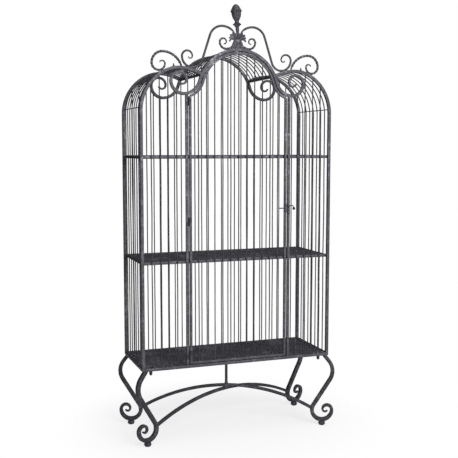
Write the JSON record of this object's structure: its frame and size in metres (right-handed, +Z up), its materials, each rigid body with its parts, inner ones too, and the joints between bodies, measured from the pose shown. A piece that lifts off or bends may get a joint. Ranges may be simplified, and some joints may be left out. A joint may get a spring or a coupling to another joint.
{
  "type": "bird cage on stand",
  "caption": "Tall wrought-iron bird cage with a double-shouldered roof, mesh shelves, a hinged ogee door and a scrolled stand with arched cross stretchers.",
  "frame": {"origin": "on the floor under the centre of the whole outline", "axes": "+Z up, -Y the front with the door, +X to the right as seen from the front"},
  "size_m": [1.072, 0.4186, 2.1516],
  "materials": {
    "frame_bar": "hand-rubbed antique pewter over dark iron",
    "rods": "dark iron with light rubbing",
    "mesh": "charcoal expanded metal",
    "ornament": "cast and twisted iron, dark with rubbed high points",
    "stand_bar": "hand-rubbed antique pewter over dark iron",
    "hardware": "blackened iron"
  },
  "bodies": {
    "cage": {"upright_front_left": "frame_bar", "upright_front_right": "frame_bar", "upright_back_left": "frame_bar", "upright_back_right": "frame_bar", "arch_front": "frame_bar", "arch_back": "frame_bar", "base_rails": "frame_bar", "base_mid_rail": "frame_bar", "base_mesh": "mesh", "shelf_mid_frame": "frame_bar", "shelf_mid_mesh": "mesh", "shelf_top_frame": "frame_bar", "shelf_top_mesh": "mesh", "divider_left": "frame_bar", "divider_right": "frame_bar", "panel_rods_left": "rods", "panel_rods_right": "rods", "back_rods": "rods", "side_rods_left": "rods", "side_rods_right": "rods", "shoulder_rods_left": "rods", "shoulder_rods_right": "rods", "vault_rods": "rods", "side_wires": "rods", "valley_bars": "frame_bar", "leg_front_left": "stand_bar", "leg_front_right": "stand_bar", "leg_back_left": "stand_bar", "leg_back_right": "stand_bar", "foot_front_left": "stand_bar", "foot_front_right": "stand_bar", "foot_back_left": "stand_bar", "foot_back_right": "stand_bar", "stretcher_upper": "stand_bar", "stretcher_lower": "stand_bar", "strut": "stand_bar", "stand_bolts": "hardware", "pediment_column": "ornament", "pediment_leaf": "ornament", "finial": "ornament", "rope_scroll_left": "ornament", "rope_scroll_right": "ornament", "base_scrolls": "ornament", "crest_scroll_left": "ornament", "crest_scroll_right": "ornament", "crest_spikes": "ornament", "hinge_lower_knuckles": "hardware", "hinge_pins": "hardware", "latch_keeper": "hardware", "keeper_screws": "hardware"},
    "door": {"door_stile_left": "frame_bar", "door_stile_right": "frame_bar", "door_bottom_rail": "frame_bar", "door_top_rail": "frame_bar", "door_rods": "rods", "hinge_upper_knuckles": "hardware", "latch_plate": "hardware", "latch_screws": "hardware"},
    "latch": {"latch_bolt": "hardware", "latch_knob": "hardware"}
  },
  "joints": [
    {"name": "door_hinge", "type": "hinge", "parent": "cage", "child": "door", "pos_m": [-0.25925, -0.195, 1.1], "axis": [0, 0, -1], "range_deg": [0, 110]},
    {"name": "latch_slide", "type": "slide", "parent": "door", "child": "latch", "axis": [1, 0, 0], "range_m": [0, 0.012]}
  ]
}
